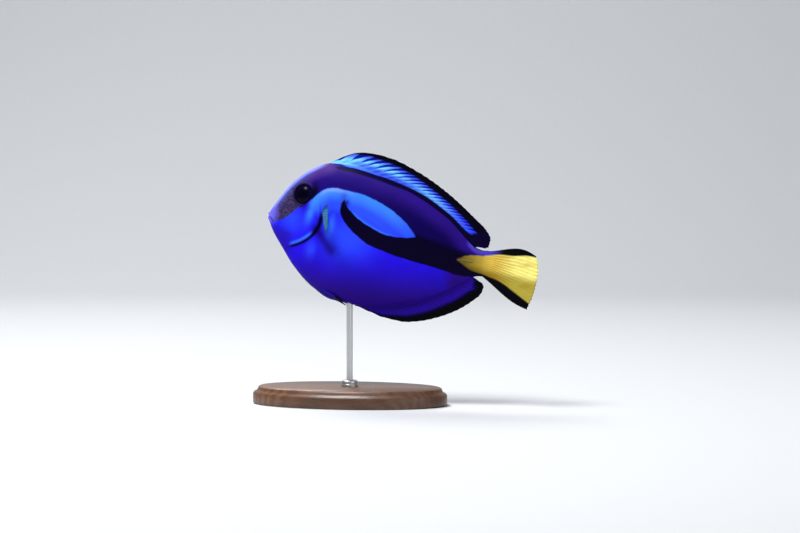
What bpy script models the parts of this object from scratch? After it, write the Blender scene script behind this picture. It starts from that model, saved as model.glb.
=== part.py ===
# A regal blue tang swimming nose up, as a still, life-size model on a display stand.
# Fish frame: s runs from the snout to the tail, y to the fish's right, h up across its body.
# The empty fish_pose pitches that frame nose up and carries it over the base.
# Origin: the centre of the base's underside, with +Z up and the snout towards -X.

import math

import bmesh
import bpy
import numpy as np
from mathutils import Matrix, Vector

MM = 0.001
GAP = 0.3 * MM  # kept between pieces that touch


def millimetres(*pairs):
    return np.array(pairs, float) * MM


# Body
BODY_LENGTH = 119 * MM  # the loft runs a little past the tail fin's root
NOSE_UP = math.radians(12.1)
RINGS, AROUND = 46, 40
TOP_LINE = millimetres(
    (0, 0), (1.2, 4.3), (4.1, 10.6), (9.3, 19.3), (17.5, 27.7), (27, 32.6),
    (38, 33.6), (50, 31.8), (69, 27.6), (91, 19), (105, 9.5), (109, 7.3), (112, 6.9), (116, 7.7), (119, 8.1),
)
BOTTOM_LINE = millimetres(
    (0, 0), (1.2, -3.6), (4.5, -8.4), (9.9, -14.2), (18.2, -22.6), (30.2, -30.8),
    (41.3, -34.6), (52.4, -34.6), (66, -32), (80.5, -27), (97, -17.6), (107, -9.4), (112, -6.3), (119, -5.4),
)
HALF_WIDTH = millimetres(
    (0, 0), (1, 2.1), (4, 3.9), (9, 5.5), (17.5, 7.3), (27, 8.7),
    (40, 9.3), (55, 8.8), (72, 7.1), (90, 4.6), (104, 2.7), (112, 1.8), (119, 1.3),
)
WIDEST_HEIGHT = millimetres((0, 0), (9, 3), (20, 6), (40, 5), (70, 1), (100, -0.5), (119, 0))
BACK_ROUNDNESS, BELLY_ROUNDNESS = 1.9, 2.1  # superellipse exponents above and below the widest height

# Where the head, trunk and tail stem part
GILL_EDGE = millimetres(
    (26.6, 44), (25.2, 26), (25.4, 17), (27.9, 10), (28.9, 4), (27.4, -2), (23, -7.6), (16, -12), (4, -17),
)
GILL_COVER_LIFT, GILL_COVER_WIDTH = 0.35 * MM, 7 * MM
SHOULDER_DIP, SHOULDER_WIDTH = 0.45 * MM, 5 * MM
STEM_FRONT, STEM_REAR = 100 * MM, 114 * MM
STEM_END_BULGE = 1.6 * MM

# Head details
EYE_S, EYE_H = 17.1 * MM, 14.6 * MM
EYE_RADIUS, EYE_DEPTH, EYE_PROUD = 4.8 * MM, 2.9 * MM, 1.1 * MM
RIM_RADIUS, RIM_THICKNESS = 5.15 * MM, 0.75 * MM
MOUTH_LINE = millimetres((-2, 0.1), (0.2, -0.3), (2, -1.2), (3.9, -2.8))
MOUTH_GAP = 0.4 * MM
LIP_RADIUS = 0.95 * MM
NOSTRILS = ((10.6 * MM, 15.4 * MM, 0.6 * MM), (12 * MM, 16.8 * MM, 0.45 * MM))  # s, h, radius

# Fins
MEMBRANE_ROOT, MEMBRANE_TIP = 0.95 * MM, 0.5 * MM
FIN_SINK = 2 * MM
RAY_BEND = 0.07  # how far a dorsal or anal ray arches, as a share of its length
DORSAL_RAYS, DORSAL_SPINES = 28, 9
DORSAL_FRONT, DORSAL_REAR = 26.2 * MM, 106 * MM
DORSAL_MARGIN = millimetres(
    (26.4, 33.1), (29.4, 35.3), (32.9, 37.8), (39, 40.7), (47.5, 42.1), (56, 41.7), (71.5, 38),
    (88.2, 31.2), (105.6, 21.2), (112.2, 16.8), (115, 12.8), (114.8, 9.3), (113.2, 8.1),
)
DORSAL_LEAN = np.array((
    (0, 0), (0.03, 0.08), (0.07, 0.15), (0.13, 0.195), (0.25, 0.2), (0.45, 0.16), (0.7, 0.1), (0.88, 0.05),
    (1, 0),
))
ANAL_RAYS, ANAL_SPINES = 21, 3
ANAL_FRONT, ANAL_REAR = 53.2 * MM, 107.5 * MM
ANAL_MARGIN = millimetres(
    (53.5, -35.1), (61.7, -36.3), (70, -37.5), (78.5, -37.4), (87, -35.4), (96.5, -31.2),
    (105.4, -25.5), (112, -19.4), (116.1, -13.8), (116.5, -11), (115.4, -9.1), (113.2, -8.5),
)
ANAL_LEAN = np.array(((0, 0), (0.2, 0.13), (0.5, 0.12), (0.85, 0.06), (1, 0)))
CAUDAL_RAYS = 16
CAUDAL_ROOT_HALF, CAUDAL_ROOT_SHIFT = 6.35 * MM, 0.7 * MM
CAUDAL_MARGIN = millimetres(
    (138.6, 9.8), (140.6, 5.9), (141.9, 0.4), (142, -4.6), (141.7, -10.4), (140.9, -14), (140.5, -16.6),
)
CAUDAL_TOP_BOW, CAUDAL_LOW_BOW = 2.9 * MM, -1.6 * MM
CAUDAL_BOW_SKEW = 1.5  # above 1, the bow is strongest behind the fin's middle
CAUDAL_TWIST = 2.2 * MM
PECTORAL_RAYS = 14
PECTORAL_ROOT_TOP = (30.2 * MM, 7.2 * MM)
PECTORAL_ROOT_LOW = (32.2 * MM, 3 * MM)
PECTORAL_LONGEST, PECTORAL_SHORTEST = 22.5 * MM, 11 * MM
PECTORAL_HIGHEST, PECTORAL_LOWEST = math.radians(20), math.radians(-18)
PECTORAL_SWEEP = math.radians(12.5)
PECTORAL_CUP = 1 * MM
PELVIC_RAYS = 4
PELVIC_ROOT = (32.5 * MM, 36 * MM)
PELVIC_LENGTH, PELVIC_DEPTH = 17 * MM, 4.2 * MM

# Tail stem spines, folded in their grooves
SPINE_S, SPINE_H = 105.6 * MM, 0.2 * MM
SPINE_LENGTH, SPINE_HEIGHT, SPINE_THICKNESS = 7 * MM, 1.3 * MM, 1.2 * MM
SPINE_PROUD = 0.35 * MM

# Display stand
FISH_HEIGHT = 95 * MM  # snout level above the floor
ROD_S = 50.5 * MM  # where the rod meets the belly
ROD_RADIUS = 1.6 * MM
BASE_LENGTH, BASE_WIDTH, BASE_HEIGHT = 100 * MM, 62 * MM, 9 * MM
BASE_BEVEL = 1.2 * MM
SOCKET_DEPTH = 5 * MM
COLLAR_RADIUS, COLLAR_HEIGHT, COLLAR_BEVEL = 4.2 * MM, 3 * MM, 0.6 * MM

# Colours of the parts, with roughness and metallic value
BLUE = (0.022, 0.012, 0.6, 1)
VIOLET = (0.03, 0.01, 0.2, 1)
YELLOW = (0.82, 0.6, 0.12, 1)
NEAR_BLACK = (0.004, 0.003, 0.01, 1)
IVORY = (0.72, 0.66, 0.42, 1)
WALNUT = (0.09, 0.045, 0.022, 1)
STEEL = (0.62, 0.62, 0.63, 1)


def clear_scene():
    for obj in list(bpy.data.objects):
        bpy.data.objects.remove(obj)


def new_collection(name):
    made = bpy.data.collections.new(name)
    bpy.context.scene.collection.children.link(made)
    return made


def paint(obj, colour, roughness, metallic=0.0):
    material = bpy.data.materials.new(obj.name)
    material.use_nodes = True
    shader = material.node_tree.nodes["Principled BSDF"]
    shader.inputs["Base Color"].default_value = colour
    shader.inputs["Roughness"].default_value = roughness
    shader.inputs["Metallic"].default_value = metallic
    obj.data.materials.clear()
    obj.data.materials.append(material)


def smooth(table, at):
    """Value at `at` of a cubic through the table's (place, value) rows that never overshoots them."""
    place, value = table[:, 0], table[:, 1]
    rise = np.diff(value) / np.diff(place)
    slope = np.concatenate((rise[:1], np.zeros(len(place) - 2), rise[-1:]))
    same_way = rise[:-1] * rise[1:] > 0
    joint = np.where(same_way, rise[:-1] + rise[1:], 1)
    slope[1:-1] = np.where(same_way, 2 * rise[:-1] * rise[1:] / joint, 0)
    i = min(max(int(np.searchsorted(place, at)) - 1, 0), len(place) - 2)
    span = place[i + 1] - place[i]
    t = (at - place[i]) / span
    start = value[i] * (1 + 2 * t) * (1 - t) ** 2 + slope[i] * span * t * (1 - t) ** 2
    end = value[i + 1] * (3 - 2 * t) * t * t + slope[i + 1] * span * t * t * (t - 1)
    return float(start + end)


def along_body(table, s):
    """As smooth, with the places taken by their roots, so that a line that starts at the snout starts round."""
    rooted = table.copy()
    rooted[:, 0] = np.sqrt(table[:, 0])
    return smooth(rooted, math.sqrt(min(max(s, 0), BODY_LENGTH)))


def along_path(points, share):
    """Point at that share of the length of a smooth path through the points."""
    steps = np.linalg.norm(np.diff(points, axis=0), axis=1)
    reach = np.concatenate(([0], np.cumsum(steps))) / steps.sum()
    return [smooth(np.column_stack((reach, points[:, axis])), share) for axis in range(2)]


def path_samples(points, count):
    return np.array([along_path(points, share) for share in np.linspace(0, 1, count)])


def body_half_width(s, h):
    """Half the body's thickness at that place of the side view."""
    middle = along_body(WIDEST_HEIGHT, s)
    edge = along_body(TOP_LINE if h > middle else BOTTOM_LINE, s)
    power = BACK_ROUNDNESS if h > middle else BELLY_ROUNDNESS
    share = min(abs((h - middle) / (edge - middle)), 1)
    return along_body(HALF_WIDTH, s) * (1 - share**power) ** (1 / power)


def body_normal(s, h, side):
    """Outward direction of the flank at that place of the side view."""
    step = 0.5 * MM
    by_s = (body_half_width(s + step, h) - body_half_width(s - step, h)) / (2 * step)
    by_h = (body_half_width(s, h + step) - body_half_width(s, h - step)) / (2 * step)
    return Vector((-by_s, side, -by_h)).normalized()


def behind_gill(s, h, edge):
    """Distance behind the gill cover's edge, and negative on the cover."""
    nearest = int(np.argmin(np.hypot(edge[:, 0] - s, edge[:, 1] - h)))
    distance = math.hypot(edge[nearest, 0] - s, edge[nearest, 1] - h)
    before, after = edge[max(nearest - 1, 0)], edge[min(nearest + 1, len(edge) - 1)]
    turn = (after[0] - before[0]) * (h - edge[nearest, 1]) - (after[1] - before[1]) * (s - edge[nearest, 0])
    return math.copysign(distance, turn)


def body_point(along, angle, proud, flank):
    """Body surface at a share of its length and an angle from the back's ridge, moved out by proud."""
    s = BODY_LENGTH * ((1 - math.cos(math.pi * along)) / 2) ** 1.25
    middle = along_body(WIDEST_HEIGHT, s)
    upper = math.cos(angle) >= 0
    edge = along_body(TOP_LINE if upper else BOTTOM_LINE, s)
    power = 2 / (BACK_ROUNDNESS if upper else BELLY_ROUNDNESS)
    rise = abs(math.cos(angle)) ** power
    spread = abs(math.sin(angle)) ** power
    h = middle + (edge - middle + math.copysign(proud, edge - middle)) * rise
    y = (along_body(HALF_WIDTH, s) + proud + flank(s, h)) * spread
    s_out = s + proud * (2 * along - 1) * abs(2 * along - 1) ** 6
    return Vector((s_out, math.copysign(y, math.sin(angle)), h))


def gill_cover_lift(edge):
    def lift(s, h):
        return GILL_COVER_LIFT * math.exp(-((behind_gill(s, h, edge) / GILL_COVER_WIDTH) ** 2))
    return lift


def shoulder_dip(edge):
    def dip(s, h):
        return -SHOULDER_DIP * math.exp(-((behind_gill(s, h, edge) / SHOULDER_WIDTH) ** 2))
    return dip


def add_object(name, mesh, collection, parent):
    obj = bpy.data.objects.new(name, mesh)
    collection.objects.link(obj)
    obj.parent = parent
    return obj


def object_from_bmesh(name, bm, collection, parent):
    mesh = bpy.data.meshes.new(name)
    bm.to_mesh(mesh)
    bm.free()
    return add_object(name, mesh, collection, parent)


def body_loft(name, collection, parent, flank, proud=0.0):
    bm = bmesh.new()
    bmesh.ops.create_uvsphere(bm, u_segments=AROUND, v_segments=RINGS, radius=1)
    for vert in bm.verts:
        along = math.acos(min(max(vert.co.z, -1), 1)) / math.pi
        vert.co = body_point(along, math.atan2(vert.co.y, vert.co.x), proud, flank)
    return object_from_bmesh(name, bm, collection, parent)


def as_mesh(obj):
    """Replaces a curve, or an object with modifiers, by the mesh that it makes."""
    graph = bpy.context.evaluated_depsgraph_get()
    mesh = bpy.data.meshes.new_from_object(obj.evaluated_get(graph))
    name, collection, parent = obj.name, obj.users_collection[0], obj.parent
    bpy.data.objects.remove(obj)
    bm = bmesh.new()
    bm.from_mesh(mesh)
    bmesh.ops.remove_doubles(bm, verts=bm.verts, dist=0.001 * MM)
    bm.to_mesh(mesh)
    bm.free()
    return add_object(name, mesh, collection, parent)


def keep_largest(obj):
    """Keeps only the largest closed surface, by the size of its box."""
    bm = bmesh.new()
    bm.from_mesh(obj.data)
    left, islands = set(bm.verts), []
    while left:
        island, edge = set(), {left.pop()}
        while edge:
            island |= edge
            edge = {e.other_vert(v) for v in edge for e in v.link_edges} - island
        left -= island
        islands.append(island)
    islands.sort(key=len)
    bmesh.ops.delete(bm, geom=[v for island in islands[:-1] for v in island], context="VERTS")
    bm.to_mesh(obj.data)
    bm.free()


def slab(name, outline, depth, collection, parent):
    """A flat plate across the fish, with that outline in the side view."""
    data = bpy.data.curves.new(name, "CURVE")
    data.dimensions = "2D"
    data.fill_mode = "BOTH"
    data.extrude = depth / 2
    spline = data.splines.new("POLY")
    spline.points.add(len(outline) - 1)
    for point, (s, h) in zip(spline.points, outline):
        point.co = (s, h, 0, 1)
    spline.use_cyclic_u = True
    curve = bpy.data.objects.new(name, data)
    collection.objects.link(curve)
    plate = as_mesh(curve)
    plate.data.transform(Matrix.Rotation(math.pi / 2, 4, "X"))
    plate.parent = parent
    return plate


def offset_path(points, distance):
    """The path moved to its left by that distance."""
    run = np.gradient(points, axis=0)
    run /= np.linalg.norm(run, axis=1)[:, None]
    return points + distance * np.column_stack((-run[:, 1], run[:, 0]))


def combine(obj, operation, tools):
    """Joins the tools to the object, or cuts them out of it, in one Boolean that is then applied."""
    modifier = obj.modifiers.new(operation.lower(), "BOOLEAN")
    modifier.operation = operation
    modifier.solver = "EXACT"
    modifier.operand_type = "COLLECTION"
    modifier.collection = tools
    made = as_mesh(obj)
    keep_largest(made)
    return made


def drop(collection):
    for obj in list(collection.objects):
        bpy.data.objects.remove(obj)
    bpy.data.collections.remove(collection)


def ellipsoid(name, radii, place, facing, segments, rings, collection, parent):
    """A flattened ball whose short axis points along facing."""
    bm = bmesh.new()
    bmesh.ops.create_uvsphere(bm, u_segments=segments, v_segments=rings, radius=1)
    turn = facing.to_track_quat("Z", "Y").to_matrix().to_4x4()
    matrix = Matrix.Translation(place) @ turn @ Matrix.Diagonal((*radii, 1))
    bmesh.ops.transform(bm, matrix=matrix, verts=bm.verts)
    return object_from_bmesh(name, bm, collection, parent)


def eye_place(side):
    """Centre of the eyeball, and the way it looks."""
    facing = body_normal(EYE_S, EYE_H, side)
    surface = Vector((EYE_S, side * body_half_width(EYE_S, EYE_H), EYE_H))
    return surface + facing * (EYE_PROUD - EYE_DEPTH), facing, surface


def eye_rim(side, collection, parent):
    facing, surface = eye_place(side)[1:]
    profile = bpy.data.curves.new("eye_rim", "CURVE")
    profile.dimensions = "3D"
    profile.bevel_depth = RIM_THICKNESS
    profile.bevel_resolution = 1
    spline = profile.splines.new("POLY")
    count = 28
    spline.points.add(count - 1)
    turn = facing.to_track_quat("Z", "Y").to_matrix()
    for i, point in enumerate(spline.points):
        angle = 2 * math.pi * i / count
        local = Vector((RIM_RADIUS * math.cos(angle), RIM_RADIUS * math.sin(angle), 0))
        spot = surface + turn @ local
        skin = math.copysign(body_half_width(spot.x, spot.z), side)
        point.co = (spot.x, skin - side * 0.35 * RIM_THICKNESS, spot.z, 1)
    spline.use_cyclic_u = True
    return as_mesh(add_object("eye_rim", profile, collection, parent))


def lip(name, drop_by, lean, collection, parent):
    """A rounded ridge that follows the mouth from one corner round the snout to the other."""
    profile = bpy.data.curves.new(name, "CURVE")
    profile.dimensions = "3D"
    profile.bevel_depth = LIP_RADIUS
    profile.bevel_resolution = 1
    profile.use_fill_caps = True
    spline = profile.splines.new("POLY")
    count = 13
    spline.points.add(count - 1)
    for i, point in enumerate(spline.points):
        across = 2 * i / (count - 1) - 1
        s = (0.5 + 3.2 * across**2) * MM
        h = smooth(MOUTH_LINE, s) + drop_by
        width = body_half_width(s, h)
        y = width * math.sin(across * math.pi / 2) * 0.93
        point.co = (s - lean, y, h, 1)
        point.radius = 1 - 0.62 * across**4
    return as_mesh(add_object(name, profile, collection, parent))


def cut_sides(edge):
    """The side-view areas in front of and behind a path that crosses the body from top to bottom."""
    far = 0.2
    front = [(-far, edge[0][1]), *edge, (-far, edge[-1][1])]
    rear = [(far, far), (edge[0][0], far), *edge, (edge[-1][0], -far), (far, -far)]
    return front, rear


def make_head(fish, parent, gill):
    cover = body_loft("head", fish, parent, gill_cover_lift(gill))
    pieces = new_collection("head_pieces")
    for side in (-1, 1):
        eye_rim(side, pieces, parent)
    lip("upper_lip", 0.85 * MM, 0.15 * MM, pieces, parent)
    lip("lower_lip", -1.0 * MM, 0.1 * MM, pieces, parent)
    head = combine(cover, "UNION", pieces)
    drop(pieces)
    cutters = new_collection("head_cuts")
    slab("behind_head", cut_sides(gill)[1], 60 * MM, cutters, parent)
    mouth = path_samples(MOUTH_LINE, 7)
    slot = [*offset_path(mouth, MOUTH_GAP / 2), *offset_path(mouth, -MOUTH_GAP / 2)[::-1]]
    slab("mouth_cut", slot, 20 * MM, cutters, parent)
    for side in (-1, 1):
        centre, facing, _ = eye_place(side)
        radii = (EYE_RADIUS + GAP, EYE_RADIUS + GAP, EYE_DEPTH + GAP)
        ellipsoid("eye_socket", radii, centre, facing, 22, 12, cutters, parent)
        for s, h, radius in NOSTRILS:
            spot = Vector((s, side * (body_half_width(s, h) + 0.2 * radius), h))
            ellipsoid("nostril", (radius,) * 3, spot, Vector((0, side, 0)), 10, 6, cutters, parent)
    head = combine(head, "DIFFERENCE", cutters)
    drop(cutters)
    paint(head, BLUE, 0.35)


def stem_end(shift, reach):
    """The rounded end of the tail stem in the side view, from top to bottom, moved back by shift."""
    return [
        (STEM_REAR + shift + STEM_END_BULGE * (1 - share**2), CAUDAL_ROOT_SHIFT + share * CAUDAL_ROOT_HALF)
        for share in np.linspace(reach, -reach, 13)
    ]


def spine_place(side):
    facing = body_normal(SPINE_S, SPINE_H, side)
    surface = Vector((SPINE_S, side * body_half_width(SPINE_S, SPINE_H), SPINE_H))
    return surface + facing * (SPINE_PROUD - SPINE_THICKNESS / 2), facing


def tail_spine(name, side, grow, collection, parent):
    """A lancet blade that lies along the tail stem, blunt behind and pointed forwards."""
    centre, facing = spine_place(side)
    bm = bmesh.new()
    bmesh.ops.create_uvsphere(bm, u_segments=12, v_segments=8, radius=1)
    along = Vector((1, 0, 0)) - facing * facing.x
    along.normalize()
    across = facing.cross(along)
    for vert in bm.verts:
        share = vert.co.x
        taper = 1 - 0.55 * max(-share, 0) ** 2
        vert.co = (
            centre
            + along * share * (SPINE_LENGTH / 2 + grow)
            + across * vert.co.y * (SPINE_HEIGHT / 2 * taper + grow)
            + facing * vert.co.z * (SPINE_THICKNESS / 2 + grow)
        )
    return object_from_bmesh(name, bm, collection, parent)


def make_trunk_and_stem(fish, parent, gill):
    flank = shoulder_dip(gill)
    trunk = body_loft("trunk", fish, parent, flank)
    cutters = new_collection("trunk_cuts")
    slab("in_front_of_trunk", cut_sides(offset_path(gill, GAP))[0], 60 * MM, cutters, parent)
    stem_front = [(STEM_FRONT, 50 * MM), (STEM_FRONT, -50 * MM)]
    slab("behind_trunk", cut_sides(stem_front)[1], 60 * MM, cutters, parent)
    trunk = combine(trunk, "DIFFERENCE", cutters)
    drop(cutters)
    paint(trunk, BLUE, 0.35)

    stem = body_loft("tail_stem", fish, parent, flank)
    cutters = new_collection("stem_cuts")
    front = [(STEM_FRONT + GAP, 90 * MM), (STEM_FRONT + GAP, -90 * MM)]
    slab("in_front_of_stem", cut_sides(front)[0], 60 * MM, cutters, parent)
    slab("behind_stem", cut_sides(stem_end(0, 1.6))[1], 60 * MM, cutters, parent)
    for side in (-1, 1):
        tail_spine("spine_groove", side, GAP, cutters, parent)
    stem = combine(stem, "DIFFERENCE", cutters)
    drop(cutters)
    paint(stem, VIOLET, 0.35)


def make_eyes(fish, parent):
    for name, side in (("eye_left", -1), ("eye_right", 1)):
        centre, facing, _ = eye_place(side)
        eye = ellipsoid(name, (EYE_RADIUS, EYE_RADIUS, EYE_DEPTH), centre, facing, 22, 12, fish, parent)
        paint(eye, NEAR_BLACK, 0.05)


def fin_sheet(name, surface, thickness, rays, rows, fish, parent):
    """A membrane with its rays as ridges. surface(u, v) gives its middle, and thickness(u, v, ray) its thickness."""
    columns = 2 * rays - 2
    bm = bmesh.new()
    bmesh.ops.create_grid(bm, x_segments=columns, y_segments=rows, size=1)
    bmesh.ops.triangulate(bm, faces=bm.faces, quad_method="FIXED")
    bm.verts.ensure_lookup_table()
    thick = []
    for vert in bm.verts:
        column = round((vert.co.x + 1) / 2 * columns)
        u, v = column / columns, (vert.co.y + 1) / 2
        on_ray = column % 2 == 0
        thick.append(thickness(u, v, on_ray))
        vert.co = surface(u, v, on_ray)
    fin = object_from_bmesh(name, bm, fish, parent)
    most = max(thick)
    group = fin.vertex_groups.new(name="thickness")
    for index, value in enumerate(thick):
        group.add([index], value / most, "REPLACE")
    shell = fin.modifiers.new("thickness", "SOLIDIFY")
    shell.thickness = most
    shell.offset = 0
    shell.vertex_group = group.name
    return as_mesh(fin)


def cut_from_body(fin, body_room):
    return combine(fin, "DIFFERENCE", body_room)


def median_fin(name, root, margin, lean, rays, spines, body_room, fish, parent):
    """A fin on the middle line. root(u) is its base line, and margin its outer edge from front to rear."""
    spine_share = (spines - 0.5) / (rays - 1)

    def surface(u, v, on_ray):
        foot = Vector(root(u))
        tip = Vector(along_path(margin, min(u + smooth(lean, u), 1)))
        if not on_ray:
            notch = (0.9 if u < spine_share else 0.35) * MM
            tip -= (tip - foot).normalized() * notch
        bend = (tip - foot).orthogonal() * RAY_BEND * math.sin(math.pi * v)
        spot = foot.lerp(tip, v) + bend
        return Vector((spot.x, 0, spot.y))

    def thickness(u, v, on_ray):
        ridge = (0.75 if u < spine_share else 0.45) * MM * (1 - 0.75 * v) if on_ray else 0
        return MEMBRANE_ROOT + (MEMBRANE_TIP - MEMBRANE_ROOT) * v + ridge

    fin = fin_sheet(name, surface, thickness, rays, 6, fish, parent)
    return cut_from_body(fin, body_room)


def make_median_fins(body_room, fish, parent):
    def back(u):
        s = DORSAL_FRONT + (DORSAL_REAR - DORSAL_FRONT) * u
        return s, along_body(TOP_LINE, s) - FIN_SINK

    def belly(u):
        s = ANAL_FRONT + (ANAL_REAR - ANAL_FRONT) * u
        return s, along_body(BOTTOM_LINE, s) + FIN_SINK

    dorsal = median_fin(
        "dorsal_fin", back, DORSAL_MARGIN, DORSAL_LEAN, DORSAL_RAYS, DORSAL_SPINES, body_room, fish, parent
    )
    paint(dorsal, BLUE, 0.3)
    anal = median_fin("anal_fin", belly, ANAL_MARGIN, ANAL_LEAN, ANAL_RAYS, ANAL_SPINES, body_room, fish, parent)
    paint(anal, BLUE, 0.3)


def make_tail_fin(fish, parent):
    root = np.array(stem_end(GAP, 1))

    def surface(u, v, on_ray):
        foot = Vector(along_path(root, u))
        tip = Vector(along_path(CAUDAL_MARGIN, u))
        if not on_ray:
            tip -= (tip - foot).normalized() * 0.3 * MM
        across = 1 - 2 * u
        bow = (CAUDAL_TOP_BOW if across > 0 else CAUDAL_LOW_BOW) * abs(across) ** 3
        spot = foot.lerp(tip, v) + Vector((0, 1)) * bow * math.sin(math.pi * v**CAUDAL_BOW_SKEW)
        return Vector((spot.x, CAUDAL_TWIST * across * v**2, spot.y))

    def thickness(u, v, on_ray):
        across = 1 - 2 * u
        flesh = 2 * along_body(HALF_WIDTH, STEM_REAR) * (1 - 0.75 * across**2)
        sheet = flesh + (0.75 * MM - flesh) * (1 - (1 - v) ** 3)
        edge = 0.25 * MM * v
        ridge = 0.35 * MM * math.sin(math.pi * min(v + 0.12, 1)) if on_ray else 0
        return sheet - edge + ridge

    tail = fin_sheet("tail_fin", surface, thickness, CAUDAL_RAYS, 8, fish, parent)
    paint(tail, YELLOW, 0.35)


def make_pectoral(name, side, body_room, fish, parent):
    """A paddle held out from the flank, upright across the swimming direction, with its rays in a fan."""
    top, low = Vector(PECTORAL_ROOT_TOP), Vector(PECTORAL_ROOT_LOW)

    def surface(u, v, on_ray):
        foot = top.lerp(low, u)
        lift = PECTORAL_HIGHEST + (PECTORAL_LOWEST - PECTORAL_HIGHEST) * u
        length = PECTORAL_LONGEST + (PECTORAL_SHORTEST - PECTORAL_LONGEST) * u**1.4
        length *= 1 - 0.12 * (1 - u) ** 6
        if not on_ray:
            length -= 0.3 * MM
        out = body_half_width(foot.x, foot.y) - FIN_SINK + (length + FIN_SINK) * v * math.cos(lift)
        back = out * math.tan(PECTORAL_SWEEP) * v + PECTORAL_CUP * v**2 * math.sin(math.pi * u)
        return Vector((foot.x + back, side * out, foot.y + length * v * math.sin(lift)))

    def thickness(u, v, on_ray):
        ridge = 0.35 * MM * (1 - 0.7 * v) if on_ray else 0
        lead = 0.25 * MM * (1 - u) ** 4 * (1 - v)
        return 0.9 * MM - 0.4 * MM * v + ridge + lead

    fin = fin_sheet(name, surface, thickness, PECTORAL_RAYS, 7, fish, parent)
    fin = cut_from_body(fin, body_room)
    paint(fin, BLUE, 0.3)


def make_pelvic(name, side, body_room, fish, parent):
    """A small fin folded back along the edge of the belly."""
    def surface(u, v, on_ray):
        root_s = PELVIC_ROOT[0] + (PELVIC_ROOT[1] - PELVIC_ROOT[0]) * u
        length = PELVIC_LENGTH * (1 - 0.35 * u)
        s = root_s + length * v
        belly = along_body(BOTTOM_LINE, s)
        rise = 3.4 * MM * (1 - v) + PELVIC_DEPTH * 0.5 * u * math.sin(math.pi * v * 0.8) - 0.9 * MM * v
        h = belly + rise
        width = body_half_width(s, max(h, belly + 0.4 * MM))
        out = width - 1.2 * MM * (1 - v) ** 3 + (0.75 + 1.1 * u * v) * MM * min(v * 6, 1)
        return Vector((s, side * out, h))

    def thickness(u, v, on_ray):
        return (0.75 - 0.25 * v + (0.3 * (1 - v) if on_ray else 0)) * MM

    fin = fin_sheet(name, surface, thickness, PELVIC_RAYS, 10, fish, parent)
    fin = cut_from_body(fin, body_room)
    paint(fin, VIOLET, 0.3)


def disc(name, radius, height, bottom, segments, collection):
    bm = bmesh.new()
    bmesh.ops.create_cone(
        bm, cap_ends=True, segments=segments, radius1=radius, radius2=radius, depth=height
    )
    bmesh.ops.translate(bm, vec=(0, 0, bottom + height / 2), verts=bm.verts)
    return object_from_bmesh(name, bm, collection, None)


def soften(obj, width, segments):
    """Rounds the edges between flat and round faces."""
    bevel = obj.modifiers.new("edge", "BEVEL")
    bevel.width = width
    bevel.segments = segments
    bevel.limit_method = "ANGLE"
    bevel.angle_limit = math.radians(50)
    return as_mesh(obj)


def make_stand(fish, body_room):
    base = disc("stand_base", 0.5, BASE_HEIGHT, 0, 48, fish)
    base.data.transform(Matrix.Diagonal((BASE_LENGTH, BASE_WIDTH, 1, 1)))
    base = soften(base, BASE_BEVEL, 2)
    cutters = new_collection("base_cuts")
    floor = BASE_HEIGHT - SOCKET_DEPTH
    disc("rod_socket", ROD_RADIUS + GAP, 2 * SOCKET_DEPTH, floor, 24, cutters)
    base = combine(base, "DIFFERENCE", cutters)
    drop(cutters)
    paint(base, WALNUT, 0.4)

    collar = disc("stand_collar", COLLAR_RADIUS, COLLAR_HEIGHT, BASE_HEIGHT + GAP, 32, fish)
    collar = soften(collar, COLLAR_BEVEL, 2)
    cutters = new_collection("collar_cuts")
    disc("collar_bore", ROD_RADIUS + GAP, FISH_HEIGHT, 0, 24, cutters)
    collar = combine(collar, "DIFFERENCE", cutters)
    drop(cutters)
    paint(collar, STEEL, 0.25, 1.0)

    rod = disc("stand_rod", ROD_RADIUS, FISH_HEIGHT, floor + GAP, 24, fish)
    rod = combine(rod, "DIFFERENCE", body_room)
    paint(rod, STEEL, 0.25, 1.0)


def main():
    clear_scene()
    fish = new_collection("regal_blue_tang")
    pose = bpy.data.objects.new("fish_pose", None)
    fish.objects.link(pose)
    belly = along_body(BOTTOM_LINE, ROD_S)
    over_rod = ROD_S * math.cos(NOSE_UP) + belly * math.sin(NOSE_UP)
    pose.location = (-over_rod, 0, FISH_HEIGHT)
    pose.rotation_euler = (0, NOSE_UP, 0)
    bpy.context.view_layer.update()

    gill = path_samples(GILL_EDGE, 33)
    body_room = new_collection("body_room")
    body_loft("room", body_room, pose, shoulder_dip(gill), proud=GAP)

    make_head(fish, pose, gill)
    make_trunk_and_stem(fish, pose, gill)
    make_eyes(fish, pose)
    for name, side in (("tail_spine_left", -1), ("tail_spine_right", 1)):
        paint(tail_spine(name, side, 0, fish, pose), IVORY, 0.3)
    make_median_fins(body_room, fish, pose)
    make_tail_fin(fish, pose)
    make_pectoral("pectoral_fin_left", -1, body_room, fish, pose)
    make_pectoral("pectoral_fin_right", 1, body_room, fish, pose)
    make_pelvic("pelvic_fin_left", -1, body_room, fish, pose)
    make_pelvic("pelvic_fin_right", 1, body_room, fish, pose)
    make_stand(fish, body_room)
    drop(body_room)


main()
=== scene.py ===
# A young regal blue tang swimming nose up, as a life-size museum model on a walnut and steel stand.
import math
from functools import partial

import bmesh
import bpy
import numpy as np
from mathutils import Matrix, Vector


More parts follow.
